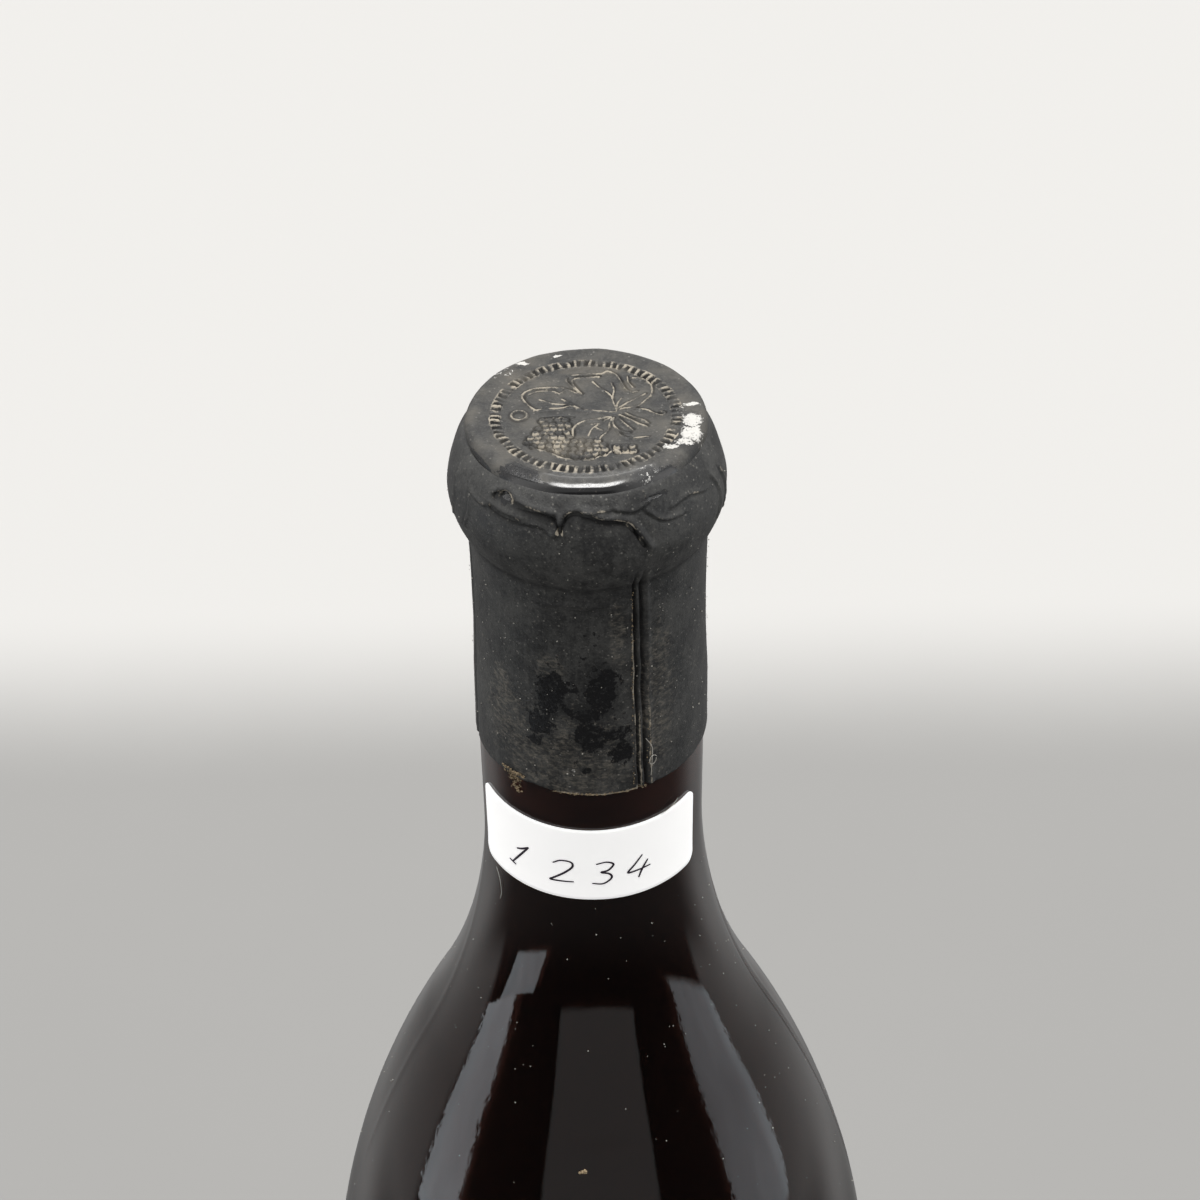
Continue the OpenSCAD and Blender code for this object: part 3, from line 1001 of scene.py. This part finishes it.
        # The corners crowd together towards the front, where the folds and the seam are
        turn = turn - math.degrees(FOIL_CROWDING) * np.sin(np.radians(turn))
        girth = np.radians(turn) * GIRTH
        on_ring = 1 - step_up(drop, 11.5, 14.5)
        away = step_up(drop, 1.3, 2.0)
        around = points.copy()
        around[:, 0] = radius * np.sin(np.radians(turn))
        around[:, 1] = -radius * np.cos(np.radians(turn))
        change = waves(around, (8, 8, 6), 7) * (0.05 + 0.1 * on_ring)
        change = change + waves(around, (2.6, 2.6, 2.6), 8) * (0.018 + 0.05 * on_ring)
        change = change + waves(around, (3.4, 3.4, 16), 9) * 0.05 * (1 - on_ring)
        cut = np.zeros(len(points))
        lips = np.zeros(len(points))
        wide = np.zeros(len(points))
        for path in FOLDS:
            line = smooth_path([(math.radians(t) * GIRTH, d) for t, d in path], 0.4)
            near, left = measure(girth, drop, line)
            cut = np.maximum(cut, bell(near, 0.13))
            wide = np.maximum(wide, bell(near, 0.5))
            lips = np.maximum(lips, bell(near - 0.3, 0.1) * np.where(left < 0, 1.0, 0.0))
            change = change - 0.55 * bell(near, 0.17) + 0.42 * bell(near, 0.9) * bell(left + 0.5, 0.4)
        for path in CREASES:
            line = smooth_path([(math.radians(t) * GIRTH, d) for t, d in path], 0.5)
            near, left = measure(girth, drop, line)
            change = change + 0.18 * bell(near, 0.25) - 0.22 * bell(left - 0.3, 0.18) * bell(near, 0.6)
            lips = np.maximum(lips, 0.4 * bell(near, 0.12))
        below = step_up(drop, 9.5, 14)
        wander = waves(around, (40, 40, 3.5), 13) * 0.16 - 0.013 * (drop - 14)
        lean = np.radians(turn - SEAM_TURN) * GIRTH + 0.25 * bell(drop - 11, 3) + wander
        change = change + below * (0.16 * bell(lean + 0.7, 0.13) - 0.5 * bell(lean + 0.38, 0.19))
        change = change + below * (0.16 * bell(lean - 1.15, 0.36) - 0.5 * bell(lean - 0.48, 0.2))
        change = change + 0.13 * bell(drop - 15.6, 0.35) * (1 - step_up(np.abs(turn), 16, 30))
        change = change - 0.08 * bell(drop - 13.3, 0.5)
        brown_line = np.radians(turn - BROWN_LINE_TURN) * GIRTH
        ridge = 0.05 * bell(brown_line + 0.6, 0.3) - 0.16 * bell(brown_line, 0.22)
        change = change + step_up(drop, 12, 16) * ridge
        radius = radius + change * away
        hem = step_up(drop, CAPSULE_LENGTH - 3, CAPSULE_LENGTH)
        uneven = waves(around, (4, 4, 40), 10) * 0.3 + waves(around, (1.2, 1.2, 40), 11) * 0.1
        points[:, 0] = radius * np.sin(np.radians(turn))
        points[:, 1] = -radius * np.cos(np.radians(turn))
        front = step_up(np.cos(np.radians(turn)), 0.2, 0.9)
        raised = RIM_LIFT * front * (1 - step_up(drop, 2.4, 4.6))
        points[:, 2] = points[:, 2] + hem * uneven + raised
        move_corners(piece.data, points)
        black = spots(turn, drop, BLACK_SPOTS)
        pale = spots(turn, drop, PALE_SPOTS)
        top_black = spots(turn, drop, RING_BLACK_SPOTS) - 0.2
        flecks = np.clip(spots(turn, drop, FLECK_SPOTS), -1, 0.5) - 0.85
        black = np.maximum.reduce([np.minimum(black * 1.3, -pale * 1.4), top_black, flecks])
        # Black paint, and painted shade as a black line along the core of each fold.
        carry_field(piece.data, "black", np.maximum(np.clip(black, -1, 0.5), cut * 6 - 2.4))
        # Painted shade: dark in the seam's grooves, round the folds, in the groove by the brown line and in
        # the groove under the ring.
        groove = np.maximum(bell(lean + 0.38, 0.2), bell(lean - 0.48, 0.2)) * below
        line_painted_shade = 0.5 * bell(brown_line, 0.25) * step_up(drop, 13, 16)
        painted_shade = np.maximum.reduce([groove, wide * 0.8, line_painted_shade, 0.6 * bell(drop - 13.3, 0.6)])
        carry_field(piece.data, "painted_shade", painted_shade)
        carry_field(piece.data, "scuff", np.clip(spots(turn, drop, SCUFF_SPOTS), -1, 0.45) - 0.1)
        patchy = 0.55 + 1.1 * waves(around, (40, 40, 2.2), 14)
        seam_dirt = bell(lean + 0.72, 0.1) * step_up(drop, 13, 16) * patchy
        seam_dirt = seam_dirt + 0.75 * bell(lean + 0.1, 0.1) * step_up(drop, 30, 34)
        edge_dirt = bell(drop - CAPSULE_LENGTH, 0.22) * (1 - step_up(np.abs(turn - 3), 18, 24))
        ridge_dirt = 0.62 * bell(lean - 1.1, 0.12) * step_up(drop, 22, 36)
        # Painted highlight: light lines on one lip of each fold and along the creases.
        lip_painted_highlight = lips * (0.4 + 1.6 * waves(around, (1.2, 1.2, 1.2), 15))
        dirt = np.maximum.reduce([seam_dirt, edge_dirt, ridge_dirt, lip_painted_highlight])
        carry_field(piece.data, "grime_and_highlight", dirt)
        carry_field(piece.data, "rust", bell(brown_line + 0.8, 0.22) * step_up(drop, 13, 15) - 0.2)
        carry_field(piece.data, "warm", 0.35 * bell(np.abs(turn - 14), 16) - 0.3)
        bare = spots(turn, drop, SKIRT_BARE_SPOTS)
        carry_field(piece.data, "bare", np.clip(bare, -1, 0.35) - 0.35)
        carry_field(piece.data, "gloss", np.clip(top_black, 0, 1))
        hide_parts("capsule")


def bend_round_neck(sizes, across, up, out):
    """A place on the neck: millimetres round it from the sticker's middle, up it and off the glass."""
    height = (STICKER_FOOT[2] + STICKER_TOP[2]) / 2 + up * MM
    radius = neck_outline_radius(sizes, height, 0) + out * MM
    turn = sizes.sticker_turn + across * MM / sizes.neck_radius
    return (radius * math.sin(turn), -radius * math.cos(turn), height)


def tube_shape(strokes, thickness, flatness):
    """Rounded strokes along smooth curves of (x, y, z) points, as one mesh in millimetres."""
    curve = bpy.data.curves.new("strokes", "CURVE")
    curve.dimensions = "3D"
    curve.bevel_depth = thickness / 2
    curve.bevel_resolution = 2
    curve.use_fill_caps = True
    for stroke in strokes:
        path = smooth_path(stroke, 0.14)
        line = curve.splines.new("POLY")
        line.points.add(len(path) - 1)
        for number, (point, place) in enumerate(zip(line.points, path)):
            point.co = (*place, 1)
            point.radius = 0.55 + 0.45 * math.sin(math.pi * (number + 1) / (len(path) + 1)) ** 0.5
    holder = bpy.data.objects.new("strokes", curve)
    data = bpy.data.meshes.new_from_object(holder)
    shape = bmesh.new()
    shape.from_mesh(data)
    bmesh.ops.scale(shape, vec=(1, 1, flatness), verts=shape.verts[:])
    bpy.data.objects.remove(holder)
    bpy.data.curves.remove(curve)
    bpy.data.meshes.remove(data)
    return shape


class WINEBOTTLE_OT_sticker(bpy.types.Operator):
    """Make the paper sticker on the neck and the pen strokes on it"""

    bl_idname = "wine_bottle.sticker"
    bl_label = "Sticker"

    def execute(self, context):
        sizes = context.scene.wine_bottle_sizes
        colours = context.scene.wine_bottle_colours
        width = sizes.sticker_width / MM
        tall = (STICKER_TOP[2] - STICKER_FOOT[2]) / MM
        thick = sizes.paper / MM
        shape = bmesh.new()
        bmesh.ops.create_grid(shape, x_segments=1, y_segments=1, size=0.5)
        bmesh.ops.scale(shape, vec=(width, tall, 1), verts=shape.verts[:])
        bmesh.ops.bevel(
            shape, geom=shape.verts[:], offset=sizes.sticker_corner / MM, affect="VERTICES", segments=8,
            profile=0.5, material=-1)
        for number in range(1, 96):
            everything = shape.verts[:] + shape.edges[:] + shape.faces[:]
            place = (width * (number / 96 - 0.5), 0, 0)
            bmesh.ops.bisect_plane(shape, geom=everything, plane_co=place, plane_no=(1, 0, 0), dist=1e-4)
        for number in range(1, 24):
            everything = shape.verts[:] + shape.edges[:] + shape.faces[:]
            place = (0, tall * (number / 24 - 0.5), 0)
            bmesh.ops.bisect_plane(shape, geom=everything, plane_co=place, plane_no=(0, 1, 0), dist=1e-4)
        bmesh.ops.recalc_face_normals(shape, faces=shape.faces[:])
        bmesh.ops.solidify(shape, geom=shape.faces[:], thickness=thick)
        low = min(corner.co.z for corner in shape.verts)
        for corner in shape.verts:
            across, up, out = corner.co
            up += 0.5 * max(0, 0.5 - up / tall) * (1 - (2 * across / width) ** 2)
            lift = 0.025 * (1 + noise.noise(Vector((across / 5, up / 4, 0.3))))
            corner.co = bend_round_neck(sizes, across, up, 0.01 + lift + out - low)
        bmesh.ops.recalc_face_normals(shape, faces=shape.faces[:])
        piece = add_piece("glowing_sticker_paper", shape, glowing_paper_finish(colours))
        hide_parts("sticker")
        strokes = []
        for place, digit in zip(DIGIT_PLACES, DIGIT_STROKES):
            for stroke in digit:
                strokes.append([(place + 1.2 * across, up * 0.92 - 1.1, 0) for across, up in stroke])
        ink = tube_shape(strokes, sizes.pen / MM, 0.25)
        for corner in ink.verts:
            across, up, out = corner.co
            corner.co = bend_round_neck(sizes, across, up, thick + 0.07 + out)
        bmesh.ops.recalc_face_normals(ink, faces=ink.faces[:])
        add_piece("pen_strokes", ink, mottled_finish("pen_ink", colours.ink, 0.6, 900, 0.5))
        return {"FINISHED"}


def add_crumb(shape, place, size, source):
    """Adds one small irregular crumb, with its size in millimetres."""
    tipped = Matrix.Rotation(source.uniform(0, 6.28), 4, "X")
    turned = tipped @ Matrix.Rotation(source.uniform(0, 6.28), 4, "Z")
    squash = Matrix.Diagonal((1, source.uniform(0.5, 1), source.uniform(0.5, 1), 1))
    crumb = bmesh.ops.create_icosphere(
        shape, subdivisions=1, radius=size / 2 * MM, matrix=Matrix.Translation(place) @ turned @ squash)
    for corner in crumb["verts"]:
        corner.co += Vector([source.uniform(-0.12, 0.12) * size * MM for _ in range(3)])


class WINEBOTTLE_OT_grit(bpy.types.Operator):
    """Make the loose matter on the bottle: dried dirt, hairs and dust"""

    bl_idname = "wine_bottle.grit"
    bl_label = "Grit, hairs and dust"

    def execute(self, context):
        sizes = context.scene.wine_bottle_sizes
        colours = context.scene.wine_bottle_colours
        source = random.Random(11)
        self.make_debris(sizes, colours, source)
        self.make_hairs(sizes, colours)
        self.make_dust(sizes, colours, source)
        return {"FINISHED"}

    def make_debris(self, sizes, colours, source):
        """Crumbs of dried dirt on the capsule's lower edge, in its seam and on the glass."""
        shape = bmesh.new()
        foot = CAPSULE_FOOT[2]
        edge = 13.82 * MM
        for _ in range(CLUMP_CRUMBS):
            down = source.random() ** 1.5
            turn = -41.5 + source.gauss(0, 1.3 + 2.2 * (1 - down))
            radius = edge + (0.08 - 0.42 * min(1, down * 1.6)) * MM
            place = on_axis(turn, radius, foot + (0.9 - 3.6 * down) * MM)
            add_crumb(shape, place, source.uniform(0.12, 0.34), source)
        for _ in range(SEAM_CRUMBS):
            turn = 19.9 + source.gauss(0, 0.25)
            drop = source.uniform(14, 43)
            radius = (13.48 + 0.3 * max(0, drop - 28) / 15) * MM
            place = on_axis(turn, radius, (TOP_MM - drop) * MM)
            add_crumb(shape, place, source.uniform(0.1, 0.22), source)
        for _ in range(EDGE_CRUMBS):
            turn = source.uniform(-20, 27)
            place = on_axis(turn, edge - 0.05 * MM, foot + source.gauss(0.0, 0.08) * MM)
            add_crumb(shape, place, source.uniform(0.1, 0.24), source)
        for _ in range(STRAY_CRUMBS):
            turn = source.gauss(27.8, 1.0)
            drop = source.uniform(33, 43)
            place = on_axis(turn, edge + 0.05 * MM, (TOP_MM - drop) * MM)
            add_crumb(shape, place, source.uniform(0.08, 0.2), source)
        for _ in range(GLASS_CRUMBS):
            height = (TOP_MM - 100.2) * MM + source.gauss(0, 0.12) * MM
            turn = -4.2 + source.gauss(0, 0.9)
            place = on_axis(turn, glass_radius_at(sizes, height), height)
            add_crumb(shape, place, source.uniform(0.3, 0.6), source)
        add_piece("dirt_crumbs", shape, mottled_finish("dried_dirt", colours.grit, 0.5, 1500, 0.95))

    def make_hairs(self, sizes, colours):
        """Fibres caught on the capsule, the neck and the foot of the neck."""
        middle = math.degrees(sizes.sticker_turn)
        high = (STICKER_FOOT[2] + STICKER_TOP[2]) / 2 / MM
        loop = []
        for number in range(9):
            angle = math.radians(40 * number)
            loop.append((29.7 + 2.0 * math.cos(angle), 39.6 + 0.75 * math.sin(angle), 0.5 + 0.03 * number))
        strand = [(35.7, 49.6, 0.22), (39.0, 49.4, 0.3), (43.0, 49.0, 0.4), (46.7, 48.6, 0.3)]
        wisp = [(26.0, 36.0, 0.5), (28.5, 37.2, 0.75), (29.4, 38.8, 0.55), (28.6, 42.0, 0.6)]
        curl = [(-61, 62.6, 0.1), (-57, 63.6, 0.18), (-55, 65.6, 0.15), (-56, 67.0, 0.1)]
        strokes = []
        for path in (loop, strand, wisp, curl):
            strokes.append([
                (math.radians(turn - middle) * sizes.neck_radius / MM, TOP_MM - drop - high, out)
                for turn, drop, out in path])
        shape = tube_shape(strokes, sizes.hair / MM, 1)
        for corner in shape.verts:
            across, up, out = corner.co
            corner.co = bend_round_neck(sizes, across, up, out)
        bmesh.ops.recalc_face_normals(shape, faces=shape.faces[:])
        add_piece("hairs", shape, mottled_finish("fibre", colours.dust, 0.7, 700, 0.7))

    def make_dust(self, sizes, colours, source):
        """Dust specks on the glass and on the capsule."""
        finish = mottled_finish("dust_specks", colours.dust, 0.55, 400, 0.95)
        glass = bmesh.new()
        for _ in range(GLASS_SPECKS):
            height = source.uniform(0.14, 0.234)
            turn = source.uniform(-180, 180)
            size = source.uniform(0.08, 0.22)
            add_crumb(glass, on_axis(turn, glass_radius_at(sizes, height), height), size, source)
        add_piece("glass_dust", glass, finish)
        capsule = bmesh.new()
        for _ in range(CAPSULE_SPECKS):
            turn = source.uniform(-180, 180)
            drop = source.uniform(3, 43)
            radius = float(np.interp(drop, DUST_DROPS, DUST_RADII))
            place = on_axis(turn, radius * MM, (TOP_MM - drop) * MM)
            add_crumb(capsule, place, source.uniform(0.07, 0.2), source)
        add_piece("capsule_dust", capsule, finish)


def studio_world(colours):
    """Soft surroundings: a pale wall behind, a lamp overhead and window light at both sides.

    Bearings are in degrees from straight behind the bottle, positive towards +X, and rises in
    degrees above the level. The windows lie below the level, where the shoulder mirrors them.
    """
    world = bpy.data.worlds.new("studio")
    world.use_nodes = True
    nodes = Nodes(world.node_tree)
    direction = nodes.coordinates("Generated")
    x = nodes.axis(direction, "X")
    y = nodes.axis(direction, "Y")
    z = nodes.axis(direction, "Z")
    bearing = x.math("ARCTAN2", y) * (180 / math.pi)
    around = bearing.math("ABSOLUTE")
    rise = z.math("ARCSINE") * (180 / math.pi)
    above = rise.ramp(-2, 4)
    behind = 1 - around.ramp(60, 110)
    wall = behind * (0.6 + 0.6 * (1 - rise.ramp(20, 60)))
    room = (1.15 - 0.65 * around.ramp(105, 150)) * (1 - 0.2 * rise.ramp(20, 60))
    dim = around.ramp(148, 164) * (1 - rise.ramp(25, 45)) * 0.75
    upper = wall.most(room * (1 - dim)) * above
    lamp = rise.ramp(73, 79) * 11.5
    steep = 1 - rise.ramp(-37, -30)
    flank = (1 - around.ramp(87, 93)) * (1 - steep) + (1 - around.ramp(50, 92)) * steep
    lower = (1 - above) * flank * (0.25 + 0.14 * around.ramp(30, 62))
    lower = lower * (0.35 + 0.65 * rise.ramp(-50, -40))
    ragged = (nodes.grain(direction, 62, 5, 0.75) - 0.5) * 13
    cloud = 0.75 + nodes.grain(direction, 7, 5) * 0.5
    pane = (bearing - (rise + 31) * 1.2).between(-134, -106, 0.8) * rise.ramp(-32.5, -31.5) * 1.6
    left_edge = (bearing + ragged).between(-113, -91, 0.8) * 1.95
    left_window = (pane + (left_edge - pane) * rise.ramp(-25.8, -25.3)) * cloud
    right_edge = bearing + ragged - 4 * (1 - rise.ramp(-29, -24))
    right_window = right_edge.between(85, 117, 0.8) * rise.ramp(-28.3, -26.5) * cloud * 1.1
    doorway = around.ramp(151, 153) * rise.ramp(-23, -21.5) * 0.37
    gloom = 0.03 + 0.07 * (1 - rise.ramp(-40, -26))
    windows = (left_window + right_window + doorway + gloom) * (1 - above)
    light = upper + lamp + lower + windows
    tint = nodes.mix(windows.ramp(0.2, 1.0), (1, 0.99, 0.975, 1), (0.9, 0.97, 1.03, 1))
    seen = nodes.add("ShaderNodeLightPath", output="Is Camera Ray")
    backdrop = nodes.mix(seen, tint, shade(colours.floor, 1.15))
    strength = light * (1 - seen) + seen
    background = world.node_tree.nodes["Background"]
    nodes.connect(backdrop, background.inputs["Color"])
    nodes.connect(strength, background.inputs["Strength"])
    return world


class WINEBOTTLE_OT_stage(bpy.types.Operator):
    """Make the floor, the soft studio light and the camera"""

    bl_idname = "wine_bottle.stage"
    bl_label = "Stage"

    def execute(self, context):
        colours = context.scene.wine_bottle_colours
        shape = bmesh.new()
        bmesh.ops.create_circle(shape, cap_ends=True, segments=128, radius=14)
        data = bpy.data.meshes.new("floor")
        shape.to_mesh(data)
        shape.free()
        finish = Finish("plain_floor")
        place = finish.coordinates()
        cloud = finish.grain(place, 9, 6) * 0.25
        far = (finish.axis(place, "Y") + cloud * 0.03).ramp(0.25, 0.325)
        near_tone = finish.mix(cloud * 4, shade(colours.floor, 0.49), shade(colours.floor, 0.52))
        finish.put("Base Color", finish.mix(far, near_tone, shade(colours.floor, 0.95)))
        finish.put("Roughness", 0.75 + cloud * 0.2)
        data.materials.append(finish.material)
        floor = bpy.data.objects.new("floor", data)
        # The surroundings, and not the floor, are what the glass mirrors and lets through
        floor.visible_glossy = False
        floor.visible_transmission = False
        context.scene.collection.objects.link(floor)
        context.scene.world = studio_world(colours)
        context.scene.view_settings.view_transform = "Standard"
        camera = bpy.data.objects.new("camera", bpy.data.cameras.new("camera"))
        camera.data.lens = CAMERA_LENS
        camera.data.sensor_width = 36
        camera.data.clip_start = 0.01
        pan = Matrix.Rotation(math.radians(CAMERA_PAN), 4, "Z")
        pitch = Matrix.Rotation(math.radians(90 - CAMERA_TILT), 4, "X")
        roll = Matrix.Rotation(math.radians(CAMERA_ROLL), 4, "Z")
        camera.matrix_world = Matrix.Translation(CAMERA_PLACE) @ pan @ pitch @ roll
        context.scene.collection.objects.link(camera)
        context.scene.camera = camera
        return {"FINISHED"}


class WINEBOTTLE_PT_build(bpy.types.Panel):
    """Lists the pieces that can be built"""

    bl_idname = "WINEBOTTLE_PT_build"
    bl_label = "Wine Bottle"
    bl_space_type = "VIEW_3D"
    bl_region_type = "UI"
    bl_category = "Wine Bottle"

    def draw(self, context):
        for step in STEPS:
            self.layout.operator(step.bl_idname)
        for group in (context.scene.wine_bottle_sizes, context.scene.wine_bottle_colours):
            box = self.layout.box()
            for name in group.__annotations__:
                box.prop(group, name)


STEPS = (
    WINEBOTTLE_OT_stage,
    WINEBOTTLE_OT_glass,
    WINEBOTTLE_OT_wine,
    WINEBOTTLE_OT_capsule,
    WINEBOTTLE_OT_sticker,
    WINEBOTTLE_OT_grit,
)
CLASSES = (WineBottleSizes, WineBottleColours, *STEPS, WINEBOTTLE_PT_build)


def register():
    for item in CLASSES:
        bpy.utils.register_class(item)
    bpy.types.Scene.wine_bottle_sizes = bpy.props.PointerProperty(type=WineBottleSizes)
    bpy.types.Scene.wine_bottle_colours = bpy.props.PointerProperty(type=WineBottleColours)


def unregister():
    del bpy.types.Scene.wine_bottle_colours
    del bpy.types.Scene.wine_bottle_sizes
    for item in reversed(CLASSES):
        bpy.utils.unregister_class(item)


def main():
    """Builds every piece."""
    register()
    bpy.ops.wine_bottle.stage()
    bpy.ops.wine_bottle.glass()
    bpy.ops.wine_bottle.wine()
    bpy.ops.wine_bottle.capsule()
    bpy.ops.wine_bottle.sticker()
    bpy.ops.wine_bottle.grit()


if __name__ == "__main__":
    main()
